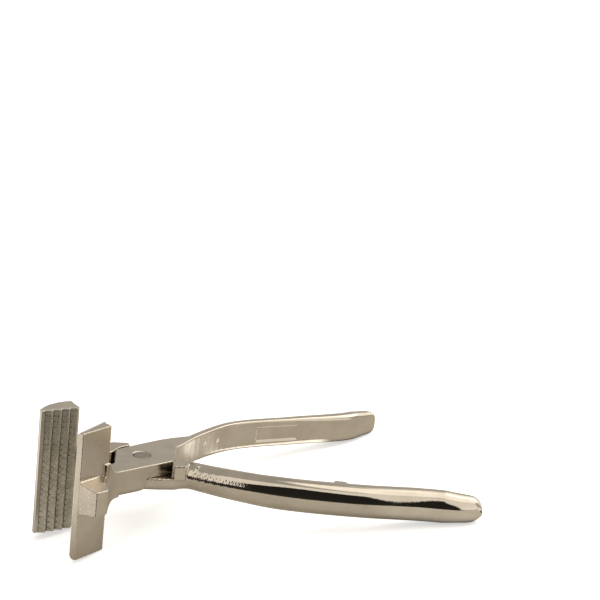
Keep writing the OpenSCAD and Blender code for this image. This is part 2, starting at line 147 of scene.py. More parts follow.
def height_at(x):
    if x > TIP_X:
        return 2 * math.sqrt(max(TIP_R ** 2 - (x - TIP_X) ** 2, LEAST_TIP))
    beside = np.linspace(x - HEIGHT_BLEND, x + HEIGHT_BLEND, 2 * HEIGHT_BLEND + 1)
    weight = 1 - np.abs(beside - x) / (HEIGHT_BLEND + 0.5)
    heights = np.interp(beside, HEIGHT_X, (NECK_H, GRIP_H, GRIP_H, 2 * TIP_R))
    return float(np.average(heights, weights=weight))


def curve(ys, x):
    """Smooth curve through the stations."""
    xs = STATIONS
    i = int(np.clip(np.searchsorted(xs, x) - 1, 0, len(xs) - 2))

    def slope(k):
        before, after = max(k - 1, 0), min(k + 1, len(xs) - 1)
        return (ys[after] - ys[before]) / (xs[after] - xs[before])

    w = xs[i + 1] - xs[i]
    s = (x - xs[i]) / w
    return ((1 + 2 * s) * (1 - s) ** 2 * ys[i] + s * (1 - s) ** 2 * w * slope(i)
            + s * s * (3 - 2 * s) * ys[i + 1] + s * s * (s - 1) * w * slope(i + 1))


def line_at(ys, x, sign):
    return curve(ys, x) + sign * GROWTH * (full_width(x) - NECK_W) / 2


def sampled(x, grid, rule):
    """A rule of one number, worked out on a grid and read off for many."""
    return np.interp(x, grid, [rule(v) for v in grid])


def quarter(cy, cz, ry, rz, start, n):
    a = np.radians(start + 90 * np.arange(n + 1) / n)
    return np.column_stack((cy + ry * np.cos(a), cz + rz * np.sin(a)))


def handle(ys, sign, start, trim):
    """Vertices and faces of a handle, with its outer side towards +y."""
    tip_turn = np.radians(np.arange(1, TIP_RINGS + 1) * 90 / TIP_RINGS)
    xs = np.concatenate((np.linspace(start, TIP_X, BODY_RINGS), TIP_X + TIP_R * np.sin(tip_turn)))
    rings = []
    for x in xs:
        w, h = width_at(x), height_at(x)
        y = line_at(ys, x, sign) + (full_width(x) - w) / 4
        ry, rz = min(ROUND_MOST, ROUND_W * w), ROUND_H * h
        up_r = min(float(np.interp(x, *UPPER_EDGE)), EDGE_W * w, EDGE_H * h)
        low_r = min(float(np.interp(x, *LOWER_EDGE)), EDGE_W * w, EDGE_H * h)
        yz = np.vstack((
            quarter(y + w / 2 - ry, -h / 2 + rz, ry, rz, -90, ROUND_STEPS),
            quarter(y + w / 2 - ry, h / 2 - rz, ry, rz, 0, ROUND_STEPS),
            quarter(y - w / 2 + up_r, h / 2 - up_r, up_r, up_r, 90, EDGE_STEPS),
            quarter(y - w / 2 + low_r, -h / 2 + low_r, low_r, low_r, 180, EDGE_STEPS)))
        inset = trim * max(x - TRIM_X, 0) / (REACH - TRIM_X)
        rings.append(np.column_stack((np.full(len(yz), x - inset), yz)))
    size, count = len(rings[0]), len(rings)
    faces = [tuple(range(size))]
    for k in range(count - 1):
        for i in range(size):
            a, b = k * size + i, k * size + (i + 1) % size
            faces.append((a, a + size, b + size, b))
    faces.append(tuple(range(count * size - 1, (count - 1) * size - 1, -1)))
    return np.vstack(rings), faces


# ---- meshes ----
VOXEL = 0.00032


def mesh_object(name, points, faces):
    mesh = bpy.data.meshes.new(name)
    mesh.from_pydata([tuple(p) for p in points], [], faces)
    mesh.update()
    return linked(name, mesh)


def linked(name, data):
    made = bpy.data.objects.new(name, data)
    scene.collection.objects.link(made)
    return made


def per_vertex(mesh, key):
    values = np.zeros(len(mesh.vertices) * 3)
    mesh.vertices.foreach_get(key, values)
    return values.reshape(-1, 3)


def edges_of(mesh):
    ends = np.zeros(len(mesh.edges) * 2, np.int64)
    mesh.edges.foreach_get("vertices", ends)
    return ends.reshape(-1, 2)


def move_points(mesh, co):
    mesh.vertices.foreach_set("co", co.ravel())
    mesh.update()


def shade_smooth(mesh):
    mesh.polygons.foreach_set("use_smooth", [True] * len(mesh.polygons))


def paint(mesh, name, values):
    layer = mesh.attributes.new(name, "FLOAT", "POINT")
    layer.data.foreach_set("value", np.asarray(values, np.float32))


def relax(co, edges, weight, rounds, back=0.0):
    """Evens out a mesh. A vertex moves by its weight, and back undoes the shrinking."""
    n = len(co)
    a, b = edges[:, 0], edges[:, 1]
    degree = np.maximum(np.bincount(a, minlength=n) + np.bincount(b, minlength=n), 1)
    for _ in range(rounds):
        for share in ((0.5, -back) if back else (0.5,)):
            total = np.column_stack([
                np.bincount(a, co[b, i], n) + np.bincount(b, co[a, i], n) for i in range(3)])
            co = co + (total / degree[:, None] - co) * (share * weight)[:, None]
    return co


def remeshed(name, parts):
    """One even mesh round several closed ones."""
    points, faces = [], []
    for p, f in parts:
        base = sum(len(x) for x in points)
        points.append(p)
        faces += [tuple(i + base for i in face) for face in f]
    raw = mesh_object(name + "_raw", np.vstack(points), faces)
    wrap = raw.modifiers.new("wrap", "REMESH")
    wrap.mode = "VOXEL"
    wrap.voxel_size = VOXEL
    wrap.adaptivity = 0
    seen = raw.evaluated_get(bpy.context.evaluated_depsgraph_get())
    mesh = bpy.data.meshes.new_from_object(seen)
    mesh.name = name
    bpy.data.objects.remove(raw)
    return linked(name, mesh)


def cad_parts(node):
    mesh = frame["nodes"][node].data
    return per_vertex(mesh, "co"), [tuple(p.vertices) for p in mesh.polygons]


# ---- castings ----
# A half: its solid, its turn in the photo, its jaw's turn, the side (1 or -1) and the place
# of the toothed face, that face's two ends, and its handle's middle line
Half = namedtuple("Half", "node turn mouth outward face ends line")
HALF_OPEN = 23.95
INNER = Half("inner_jaw_half", HALF_OPEN, 23.5, 1, 5.5, (-49.0, -30.0), FAR_Y)
OUTER = Half("outer_jaw_half", -HALF_OPEN, 41.7, -1, 10.7909, (-48.1876, -29.0997), NEAR_Y)

JAW_Z = 30.0
TOOTH = 1.5
PANEL_AT, PANEL_LEN, PANEL_H, PANEL_DEPTH = 94.6, 23.8, 7.7, 0.7
ON_FACE = 1.0  # how far inside the middle line a handle's inner face begins

# Marks on the far handle: x, z, radius and height of each ring, all guessed
CAST_MARKS = ((34.6, -2.7, 0.6, 0.07), (46.0, 1.7, 0.7, 0.10),
              (56.6, 0.9, 0.7, 0.10), (119.5, 0.5, 1.3, 0.12))
MARK_WIDTH = 0.3
FAINT_LINE_X, FAINT_LINE_H, FAINT_LINE_W = 71.6, 0.07, 0.35

# Slopes of the panel: how far outside its edge each begins, and how wide it is
END_SLOPE, TOP_SLOPE, LOW_SLOPE = (0.25, 0.6), (0.2, 0.45), (0.5, 1.1)
# Painted shade along the panel's edges: its rise outside the edge, its falls inside, and the far side
# it stays off
SHADE_RISE, TOP_SHADE_FALL, END_SHADE_FALL = (-0.3, -0.1), (0.55, 0.3), (0.5, 0.25)
SHADE_Y = 12.2

TAPER_X, SLANT_X = 141.5, 136  # where the round and the slant of a handle's tip begin
TAPER, SLANT, DRAWN_MOST = 4.6, 1.0, 0.4

# Stretches of x or z with their rise and fall. The near handle's root:
STEP, RAMP = ((23.0, 23.3), (27.5, 26.0)), ((17.0, 25.5), (31.0, 27.5))
RECESS, RECESS_DEPTH = ((12.0, 14.0), (24.0, 19.0)), 0.3
ROOT_UPPER = (-1.0, -0.4)
STEP_FOOT = ((23.6, 25), (36, 29))
BELOW_Z, BELOW_X = ((-6.2, -5.2), (-0.8, -1.8)), ((14, 18), (34, 28))
TOP_EDGE_X, TOP_EDGE_Z = ((24, 27), (80, 60)), (3.5, 5.0)
# its ripples:
RIPPLE_X, RIPPLE_Z = ((24.5, 27), (62, 30)), ((-1.5, 1.0), (6.0, 4.6))
RIPPLE_MORE, MORE_X = 1.2, (44, 34)
# and the arm, the handles and their tips:
ARM_RISE, HANDLE_RISE, ROOT_FALL = (29.5, 26.5), (22, 32), (80, 40)
PANEL_CRISP, CRISPNESS = ((78, 80), (111, 109)), 0.5
TIP_RISE, VERY_TIP_RISE = (152, 159), (159.5, 162.5)
INNER_SIDE_X, INNER_SIDE_Z = ((26, 34), (75, 60)), (5.8, 4.5)
LOW_ARM, LOW_ARM_STRETCH, LOW_ARM_FALL = (-21.0, -12.5, -6.5), 1.4, (5.0, 1.5)

# Ripples: height in metres, then for each wave its share, wave numbers along x and z, and start
RIPPLE = 0.000013
WAVES = ((1, 6.6, -2.4, 0), (0.8, 4.1, 0.9, 1.0), (0.6, 1.7, -1.9, 0.8))

# Points along a handle at which its middle line is worked out
TIP_GRID, ROOT_GRID = np.linspace(130, REACH, 135), np.linspace(16, 34, 73)
PANEL_GRID, MARKS_GRID = np.linspace(60, 130, 141), np.linspace(24, 150, 253)

KNURL_BED, BED_EDGE = 0.5, 0.5  # how far the casting lies back under the skin, and how soon
BED_ABOVE, BED_BELOW, BED_FACING = 0.5, 1.9, 0.15  # which points count as the toothed face
END_CHAMFER = 1.1
CHAMFER_ABOVE, CHAMFER_GAP, CHAMFER_Z = 0.1, 0.05, 24
PAST_START, PAST_END = 1, 2.2


def end_chamfer(z):
    """Height of the inner jaw's face where its two ends are chamfered to the root of the teeth."""
    return INNER.face - TOOTH + CHAMFER_ABOVE + (JAW_Z - np.abs(z)) * END_CHAMFER


def tapered_tip(co, half):
    """Rounds a handle's outer side in plan towards its tip."""
    p = local(co, half.turn)
    side = np.sign(half.turn)

    def middle_at(v):
        return line_at(half.line, v, side) + (full_width(v) - width_at(v)) / 4

    x = np.clip(p[:, 0], TIP_GRID[0], TIP_GRID[-1])
    w = sampled(x, TIP_GRID, width_at)
    middle = sampled(x, TIP_GRID, middle_at)
    near_tip = np.clip((x - TAPER_X) / (REACH - TAPER_X), 0, 1)
    slant = SLANT * np.clip((x - SLANT_X) / (REACH - SLANT_X), 0, 1) ** 2
    drawn = TAPER * (1 - np.sqrt(1 - near_tip ** 2)) + slant
    out = np.clip((side * p[:, 1] - middle + w / 2) / w, 0, 1)
    p[:, 1] -= side * np.minimum(drawn, DRAWN_MOST * w) * out
    return placed(p, half.turn)


def stepped_root(co):
    """Ends the near half's lug in a step. Below it the joint's side runs on into the handle."""
    p = local(co, OUTER.turn)
    x, y, z = p.T
    q = np.clip(x, ROOT_GRID[0], ROOT_GRID[-1])
    middle = sampled(q, ROOT_GRID, lambda v: line_at(NEAR_Y, v, -1))
    h = sampled(q, ROOT_GRID, height_at)
    rz, ry = ROUND_H * h, ROUND_W * NECK_W
    up_share = np.clip((np.abs(z) - (h / 2 - rz)) / rz, 0, 1)
    wall = -(middle + NECK_W / 2 - ry + ry * np.sqrt(1 - up_share ** 2))
    beside = y < -middle
    upper = smoothstep(*ROOT_UPPER, z)
    share = beside * (upper * between(x, *STEP) + (1 - upper) * between(x, *RAMP))
    recess = RECESS_DEPTH * beside * (1 - upper) * between(x, *RECESS)
    p[:, 1] += share * np.maximum(wall - y, 0) + recess
    return placed(p, OUTER.turn)


def rippled(mesh, co):
    """Small waves in the top of the near handle next to the joint.

    They are a guess: the photo's dark reflection is broken up there."""
    move_points(mesh, co)
    x, _, z = local(co, OUTER.turn).T
    wave = sum(h * np.sin(x * along + z * across + start) for h, along, across, start in WAVES)
    share = between(x, *RIPPLE_X) * between(z, *RIPPLE_Z)
    strong = 1 + RIPPLE_MORE * smoothstep(*MORE_X, x)
    return co + per_vertex(mesh, "normal") * (share * strong * wave * RIPPLE)[:, None]


def on_inner_face(p, grid):
    """Where a point of the far half lies on its handle's inner face."""
    return p[:, 1] < sampled(p[:, 0], grid, lambda v: line_at(FAR_Y, v, 1)) - ON_FACE


def sunk_panel(co):
    """Presses the bare panel into the inner face of the far handle."""
    p = local(co, INNER.turn)
    along = (PANEL_LEN / 2 - np.abs(p[:, 0] - PANEL_AT) + END_SLOPE[0]) / END_SLOPE[1]
    upper = (PANEL_H / 2 - p[:, 2] + TOP_SLOPE[0]) / TOP_SLOPE[1]
    lower = (PANEL_H / 2 + p[:, 2] + LOW_SLOPE[0]) / LOW_SLOPE[1]
    inside = np.minimum(along, np.minimum(upper, lower))
    on_face = on_inner_face(p, PANEL_GRID)
    p[:, 1] += on_face * PANEL_DEPTH * np.clip(inside, 0, 1)
    return placed(p, INNER.turn)


def cast_marks(co):
    """Small rings and one faint line on the far handle's inner face."""
    p = local(co, INNER.turn)
    on_face = on_inner_face(p, MARKS_GRID)
    for at, z, radius, height in CAST_MARKS:
        away = np.hypot(p[:, 0] - at, p[:, 2] - z)
        p[:, 1] -= on_face * height * np.exp(-((away - radius) / MARK_WIDTH) ** 2)
    ridge = np.exp(-((p[:, 0] - FAINT_LINE_X) / FAINT_LINE_W) ** 2)
    p[:, 1] -= on_face * FAINT_LINE_H * ridge
    return placed(p, INNER.turn)


def panel_edge(p):
    """Where shade is painted along the upper and the joint-side edge of the bare panel."""
    along = PANEL_LEN / 2 - np.abs(p[:, 0] - PANEL_AT)
    up_gap = PANEL_H / 2 - p[:, 2]
    top = between(up_gap, SHADE_RISE, TOP_SHADE_FALL) * (along > SHADE_RISE[1])
    start_gap = p[:, 0] - (PANEL_AT - PANEL_LEN / 2)
    near_end = between(start_gap, SHADE_RISE, END_SHADE_FALL) * (np.abs(p[:, 2]) < PANEL_H / 2)
    return np.maximum(top, near_end) * (p[:, 1] < SHADE_Y)


def softened(co, edges, p, half):
    """Evens the voxels out everywhere, rounds the arm and makes the handle flow into its tip."""
    x = p[:, 0]
    on_handle = smoothstep(*HANDLE_RISE, x)
    on_arm = smoothstep(*ARM_RISE, -spun(p, -half.mouth)[:, 0]) * (1 - on_handle)
    if half is INNER:
        # less round the panel, so that the inner face stays flat there
        on_handle = on_handle * (1 - between(x, *PANEL_CRISP) * CRISPNESS)
    co = relax(co, edges, np.ones(len(co)), rounds=7, back=0.5)
    co = relax(co, edges, on_arm + on_handle, rounds=8, back=0.53)
    co = relax(co, edges, on_handle, rounds=14, back=0.53)
    co = tapered_tip(co, half)
    co = relax(co, edges, smoothstep(*TIP_RISE, x), rounds=14, back=0.3)
    co = relax(co, edges, smoothstep(*VERY_TIP_RISE, x), rounds=30)
    return relax(co, edges, on_handle * smoothstep(*ROOT_FALL, x), rounds=14, back=0.53)


def outer_details(mesh, co, edges, p):
    """The step and the ripples of the near handle's root, with its sides evened out."""
    x, z = p[:, 0], p[:, 2]
    co = stepped_root(co)
    co = relax(co, edges, np.full(len(co), 0.8), rounds=2)
    co = relax(co, edges, between(x, *STEP_FOOT), rounds=14, back=0.3)
    co = relax(co, edges, between(z, *BELOW_Z) * between(x, *BELOW_X), rounds=24, back=0.3)
    co = rippled(mesh, co)
    top_edge = between(x, *TOP_EDGE_X) * smoothstep(*TOP_EDGE_Z, z)
    return relax(co, edges, top_edge, rounds=10, back=0.2)


def inner_details(co, edges, p):
    """The far handle's inner side and the arm's low part evened out, the panel and the marks."""
    inner_side = between(p[:, 0], *INNER_SIDE_X) * smoothstep(*INNER_SIDE_Z, np.abs(p[:, 2]))
    co = relax(co, edges, inner_side, rounds=30, back=0.4)
    x, y, z = (p - LOW_ARM).T
    away = np.hypot(np.hypot(x / LOW_ARM_STRETCH, y), z / LOW_ARM_STRETCH) - 1
    co = relax(co, edges, smoothstep(*LOW_ARM_FALL, away), rounds=20)
    return cast_marks(sunk_panel(co))


def bedded(mesh, co, half):
    """Lays the toothed face back, so that there is room for the knurled skin over it."""
    normal = spun(local_direction(per_vertex(mesh, "normal"), half.turn), -half.mouth)
    jaw = spun(local(co, half.turn), -half.mouth)
    x, y, z = jaw.T
    start, end = half.ends
    depth = half.outward * (half.face - y)
    edge = np.minimum(np.minimum(x - start, end - x), JAW_Z - np.abs(z))
    on_face = (depth < BED_BELOW) & (depth > -BED_ABOVE)
    on_face &= half.outward * normal[:, 1] > BED_FACING
    jaw[:, 1] -= half.outward * (KNURL_BED * smoothstep(0.0, BED_EDGE, edge) * on_face)
    if half is INNER:
        at_ends = (x < end + PAST_END) & (x > start - PAST_START) & (np.abs(z) > CHAMFER_Z)
        under = np.minimum(jaw[:, 1], end_chamfer(z) - CHAMFER_GAP)
        jaw[:, 1] = np.where(at_ends, under, jaw[:, 1])
    return placed(spun(jaw, half.mouth), half.turn)


def casting(name, half, handle_parts):
    """One half of the tool: its solid and a fine handle in one mesh, softened by region."""
    made = remeshed(name, [cad_parts(half.node), handle_parts])
    mesh = made.data
    co, edges = per_vertex(mesh, "co"), edges_of(mesh)
    p = local(co, half.turn)
    co = softened(co, edges, p, half)
    if half is INNER:
        co = inner_details(co, edges, p)
        gloss, panel_shade = smoothstep(36, 75, p[:, 0]), panel_edge(p)
    else:
        co = outer_details(mesh, co, edges, p)
        gloss, panel_shade = smoothstep(15, 19, p[:, 0]), np.zeros(len(co))
    move_points(mesh, co)
    move_points(mesh, bedded(mesh, co, half))
    shade_smooth(mesh)
    paint(mesh, "cast", 1 - gloss)
    # painted shade along the sunk panel's upper and joint-side edges
    paint(mesh, "panel_shade", panel_shade)
    return made


far_points, far_faces = handle(FAR_Y, 1, 22.0, 2.4)
near_points, near_faces = handle(NEAR_Y, -1, 22.5, 0.0)
near_points = near_points * (1, -1, 1)
near_faces = [tuple(reversed(f)) for f in near_faces]

inner = casting("inner_casting", INNER, (placed(far_points, INNER.turn), far_faces))
outer = casting("outer_casting", OUTER, (placed(near_points, OUTER.turn), near_faces))

# ---- knurled faces ----
TEETH = 4
PITCH, SLOPE = 4.3, 3.311
DROP = PITCH - SLOPE
OUTER_FIRST, INNER_FIRST = 46.5876, 45.2576  # the tooth furthest from the rivet
LINE_STEP, Z_STEPS = 0.14, 430

# Pits: size, distance in a row, and where the rows lie on a tooth with how they are staggered
PIT_R, PIT_DEPTH, ROW = 0.42, 0.24, 2.75
PIT_ROWS = ((0.17, 0.0), (0.45, 0.0), (0.73, 0.5))
ROW_DRIFT, WOBBLE, SIZE_SPREAD = 0.55, 0.10, 0.15
PITS_FALL = (29.6, 28.8)  # no pits at the jaw's two ends

EDGE_R = 0.22  # rounding of the skin's two ends
BARE_EDGE = 0.42  # the ends keep no painted shade over this much
SAND_COARSE, SAND_FINE = 0.018, 0.012  # height of the teeth's uneven face
LIFT, PROUD = 0.03, 0.02
SKIRT_DEEP, SKIRT_TIP, SKIRT_SIDE = 1.1, 0.12, 0.1  # how far the skirts reach in


def toothed(points, step):
    """Even points along a zigzag, with its corners a little rounded."""
    points = np.array(points, float)
    lengths = np.linalg.norm(np.diff(points, axis=0), axis=1)
    total = np.concatenate(([0], np.cumsum(lengths)))
    s = np.linspace(0, total[-1], int(total[-1] / step))
    line = np.column_stack([np.interp(s, total, points[:, i]) for i in (0, 1)])
    for _ in range(3):
        line[1:-1] = line[1:-1] * 0.5 + (line[:-2] + line[2:]) * 0.25
    return line


def side_normals(line, outward):
    """Normals of a line in plan, on the side that faces outward."""
    tangent = np.gradient(line, axis=0)
    tangent /= np.linalg.norm(tangent, axis=1)[:, None]
    normal = np.column_stack((-tangent[:, 1], tangent[:, 0]))
    return normal * np.where(normal[:, 1] * outward > 0, 1, -1)[:, None]


def pits_on(zz, tooth, share):
    """Depth of the pits from 0 to 1, each a little out of line."""
    pit = np.zeros_like(share)
    for at, stagger in PIT_ROWS:
        row = (zz + tooth * ROW_DRIFT) / ROW + stagger
        dz = (row - np.round(row)) * ROW
        wobble = WOBBLE * np.sin(np.round(row) * 12.9898 + tooth * 4.1 + at * 31)
        dx = (share - at) * PITCH * 1.1 + wobble
        radius = PIT_R * (1 + SIZE_SPREAD * np.sin(np.round(row) * 7.7 + tooth))
        r = np.sqrt(dx * dx + dz * dz) / radius
        pit = np.maximum(pit, np.where(r < 1, (1 - r * r) ** 2, 0))
    return pit


def skirted(grid, line, outward):
    """The skin with two more rows on every side, which close it against the casting."""

    def skirt(edge_points, shift, sink):
        q = edge_points.copy()
        q[:, 1] -= outward * sink
        return q + shift

    tip = np.array((-PROUD, 0, 0)) * (1 if line[0, 0] < line[-1, 0] else -1)
    before = [skirt(grid[0], tip, sink) for sink in (SKIRT_DEEP, SKIRT_TIP)]
    after = [skirt(grid[-1], -tip, sink) for sink in (SKIRT_TIP, SKIRT_DEEP)]
    grid = np.concatenate((np.array(before), grid, np.array(after)))
    over = np.array((0, 0, PROUD))
    low = [skirt(grid[:, 0], -over, sink) for sink in (SKIRT_DEEP, SKIRT_SIDE)]
    high = [skirt(grid[:, -1], over, sink) for sink in (SKIRT_SIDE, SKIRT_DEEP)]
    return np.concatenate((np.stack(low, 1), grid, np.stack(high, 1)), axis=1)


def knurl(name, profile, half, first):
    """Thin plated skin over the teeth of a jaw, with rows of pits on every tooth."""
    outward = half.outward
    line = toothed(profile, LINE_STEP)
    normal = side_normals(line, outward)
    z = np.concatenate((
        -JAW_Z + EDGE_R * (1 - np.cos(np.radians(np.linspace(0, 90, 6)[:-1]))),
        np.linspace(-JAW_Z + EDGE_R, JAW_Z - EDGE_R, Z_STEPS),
        JAW_Z - EDGE_R * (1 - np.cos(np.radians(np.linspace(90, 0, 6)[1:])))))
    zz, ii = np.meshgrid(z, np.arange(len(line)))
    u = line[ii, 0]
    # which tooth, and the share of its pitch from the valley on
    phase = (u - first) / PITCH
    tooth = np.floor(phase)
    share = phase - tooth
    inside = (phase > 0) & (phase < TEETH)
    pit = pits_on(zz, tooth, share) * (inside * smoothstep(*PITS_FALL, np.abs(zz)))
    drop = np.maximum(np.abs(zz) - (JAW_Z - EDGE_R), 0)
    drop = EDGE_R - np.sqrt(np.maximum(EDGE_R ** 2 - drop ** 2, 0))
    rough = (SAND_COARSE * np.sin(u * 9.1 + zz * 3.3) * np.sin(zz * 8.7 - u * 2.1)
             + SAND_FINE * np.sin(u * 21 + zz * 17))
    lift = LIFT - PIT_DEPTH * pit - drop + rough * (drop == 0)
    px = u + normal[ii, 0] * lift
    py = line[ii, 1] + normal[ii, 1] * lift
    if half is INNER:
        py = np.minimum(py, end_chamfer(zz))
    # painted shade in the pits, the valleys and on the lower flanks, wear on the crests
    marked = inside * (np.abs(zz) < JAW_Z - BARE_EDGE)
    valley = smoothstep(0.12, 0.04, np.minimum(share, 1 - share))
    flank = 0.14 * smoothstep(0.66, 0.5, share)
    dark = np.clip(pit * 1.3 + np.maximum(flank, 0.92 * valley), 0, 1) * marked
    crest = 0.75 * smoothstep(0.07, 0.02, np.abs(share - SLOPE / PITCH))
    rim = np.where(marked, crest, 1.0)
    grid = skirted(np.stack((px, py, zz), axis=-1), line, outward)
    n, m = grid.shape[:2]
    flip = (line[0, 0] < line[-1, 0]) == (outward > 0)
    faces = []
    for i in (a * m + b for a in range(n - 1) for b in range(m - 1)):
        quad = (i, i + m, i + m + 1, i + 1)
        faces.append(quad if flip else quad[::-1])
    made = mesh_object(name, placed(spun(grid.reshape(-1, 3), half.mouth), half.turn), faces)
    shade_smooth(made.data)
    paint(made.data, "dark", np.pad(dark, 2).ravel())
    paint(made.data, "rim", np.pad(rim, 2, constant_values=1).ravel())
    return made


outer_profile = [(OUTER.ends[0], OUTER.face)]
inner_profile = [(INNER.ends[0], INNER.face)]
for k in range(TEETH):
    u = OUTER_FIRST - k * PITCH
    outer_profile += [(-u, OUTER.face), (-(u - SLOPE), OUTER.face - TOOTH)]
    u = INNER_FIRST - k * PITCH
    inner_profile += [(-(u + DROP), INNER.face), (-u, INNER.face - TOOTH)]
outer_profile += [(-(OUTER_FIRST - TEETH * PITCH), OUTER.face), (OUTER.ends[1], OUTER.face)]
inner_profile += [(INNER.ends[1], INNER.face - 0.43)]

outer_knurl = knurl("outer_jaw_knurling", outer_profile, OUTER, -OUTER_FIRST)
inner_knurl = knurl("inner_jaw_knurling", inner_profile, INNER, -INNER_FIRST)

# ---- rivet ----
SLAB, SHANK_R, HEAD_T = 6.5, 3.5, 2.0
FLUSH = SLAB - 0.1
AROUND = 128
# Radius and height from the middle of the head down to the shank
RIVET_HALF = (
    (0, FLUSH + 0.05), (1.2, FLUSH + 0.045), (2.4, FLUSH + 0.03), (3.4, FLUSH),
    (3.85, FLUSH - 0.03), (4.02, FLUSH - 0.08), (4.1, FLUSH - 0.2), (4.12, FLUSH - 0.5),
    (4.45, FLUSH - 0.5), (SHANK_R + 0.1, SLAB - HEAD_T - 0.05), (SHANK_R, SLAB - HEAD_T - 0.3))
GROOVE = (3.95, 4.1)  # the ring of painted shade round the head


def rivet():
    """Shank with a cone head at both ends, faintly domed and chamfered."""
    top, *half = RIVET_HALF
    side = half + [(r, -z) for r, z in reversed(half)]
    angles = np.radians(np.arange(AROUND) * 360 / AROUND)
    points = [(0, 0, top[1]), (0, 0, -top[1])]
    for r, z in side:
        points += [(r * math.cos(a), r * math.sin(a), z) for a in angles]
    last = 2 + (len(side) - 1) * AROUND
    faces = []
    for i in range(AROUND):
        j = (i + 1) % AROUND
        faces.append((0, 2 + i, 2 + j))
        faces.append((1, last + j, last + i))
        for a in range(2, last, AROUND):
            faces.append((a + i, a + AROUND + i, a + AROUND + j, a + j))
    made = mesh_object("rivet", placed(points, 0), faces)
    shade_smooth(made.data)
    radius = np.hypot(*np.array(points).T[:2])
    # painted shade in the groove round the head
    paint(made.data, "dark", smoothstep(*GROOVE, radius))
    return made


pin = rivet()


# ---- materials ----
class Graph:
    """The nodes of a material or a world, made in short lines."""

    def __init__(self, tree):
        self.nodes = tree.nodes
        self.links = tree.links

    def feed(self, socket, value):
        """Links a socket to another one, or sets it to a number or a colour."""
        if hasattr(value, "is_output"):
            self.links.new(value, socket)
        else:
            socket.default_value = (*value, 1) if isinstance(value, tuple) else value

    def maths(self, kind, a, b=0.0):
        made = self.nodes.new("ShaderNodeMath")
        made.operation = kind
        for socket, value in zip(made.inputs, (a, b)):
            self.feed(socket, value)
        return made.outputs["Value"]

    def times(self, value, *others):
        for other in others:
            value = self.maths("MULTIPLY", value, other)
        return value

    def plus(self, a, b):
        return self.maths("ADD", a, b)

    def minus(self, a, b):
        return self.maths("SUBTRACT", a, b)

    def most(self, a, b):
        return self.maths("MAXIMUM", a, b)

    def span(self, value, low, high, to_low=0.0, to_high=1.0):
        """Eases from one number to another while the value goes from low to high."""
        made = self.nodes.new("ShaderNodeMapRange")
        made.interpolation_type = "SMOOTHSTEP"
        self.feed(made.inputs["Value"], value)
        for key, number in (("From Min", low), ("From Max", high),
                            ("To Min", to_low), ("To Max", to_high)):
            made.inputs[key].default_value = number
        return made.outputs["Result"]

    def mix(self, share, a, b):
        made = self.nodes.new("ShaderNodeMix")
        made.data_type = "RGBA"
        self.feed(made.inputs["Factor"], share)
        self.feed(made.inputs[6], a)
        self.feed(made.inputs[7], b)
        return made.outputs[2]

    def ray(self, kind):
        return self.nodes.new("ShaderNodeLightPath").outputs[kind]


class Finish(Graph):
    """A material round one principled shader."""

    def __init__(self, name, metallic=1.0):
        self.material = bpy.data.materials.new(name)
        self.material.use_nodes = True
        super().__init__(self.material.node_tree)
        self.shader = self.nodes["Principled BSDF"]
        self.place = self.nodes.new("ShaderNodeTexCoord").outputs["Object"]
        self.put("Metallic", metallic)

    def put(self, name, value):
        self.feed(self.shader.inputs[name], value)

    def noise(self, scale, detail=3.0, rough=0.55, stretch=None):
        source = self.place
        if stretch:
            mapping = self.nodes.new("ShaderNodeMapping")
            mapping.inputs["Scale"].default_value = stretch
            self.links.new(source, mapping.inputs["Vector"])
            source = mapping.outputs["Vector"]
        made = self.nodes.new("ShaderNodeTexNoise")
        for key, value in (("Vector", source), ("Scale", scale),
                           ("Detail", detail), ("Roughness", rough)):
            self.feed(made.inputs[key], value)
        return made.outputs["Fac"]

    def spots(self, scale):
        made = self.nodes.new("ShaderNodeTexVoronoi")
        made.inputs["Scale"].default_value = scale
        self.links.new(self.place, made.inputs["Vector"])
        return made.outputs["Distance"]

    def attribute(self, name):
        made = self.nodes.new("ShaderNodeAttribute")
        made.attribute_name = name
        return made.outputs["Fac"]

    def pointiness(self):
        return self.nodes.new("ShaderNodeNewGeometry").outputs["Pointiness"]

    def crevice(self, reach):
        made = self.nodes.new("ShaderNodeAmbientOcclusion")
        made.inputs["Distance"].default_value = reach
        made.samples = 8
        return made.outputs["AO"]

    def bump(self, height, distance, strength, under=None):
        made = self.nodes.new("ShaderNodeBump")
        self.feed(made.inputs["Height"], height)
        self.feed(made.inputs["Strength"], strength)
        made.inputs["Distance"].default_value = distance
        if under is not None:
            self.links.new(under, made.inputs["Normal"])
        return made.outputs["Normal"]


NICKEL = (0.68, 0.62, 0.53)
NICKEL_WORN = (0.60, 0.54, 0.45)
NICKEL_EDGE = (0.80, 0.77, 0.71)
PIT_TONE = (0.22, 0.19, 0.15)
PAINTED_SHADE = (0.16, 0.13, 0.095)
SAND_PALE, SAND_DULL = (0.90, 0.85, 0.76), (0.74, 0.69, 0.59)
SAND_GRIT = (0.40, 0.355, 0.29)
KNURL_SHADE = (0.10, 0.082, 0.06)
STEEL, STEEL_DULL, STEEL_STAIN = (0.44, 0.41, 0.375), (0.33, 0.305, 0.275), (0.26, 0.24, 0.21)
GROOVE_SHADE = (0.03, 0.026, 0.02)
GLOSS_TO_SATIN = (0.03, 0.21)  # roughness of the polished handles and of the cast parts


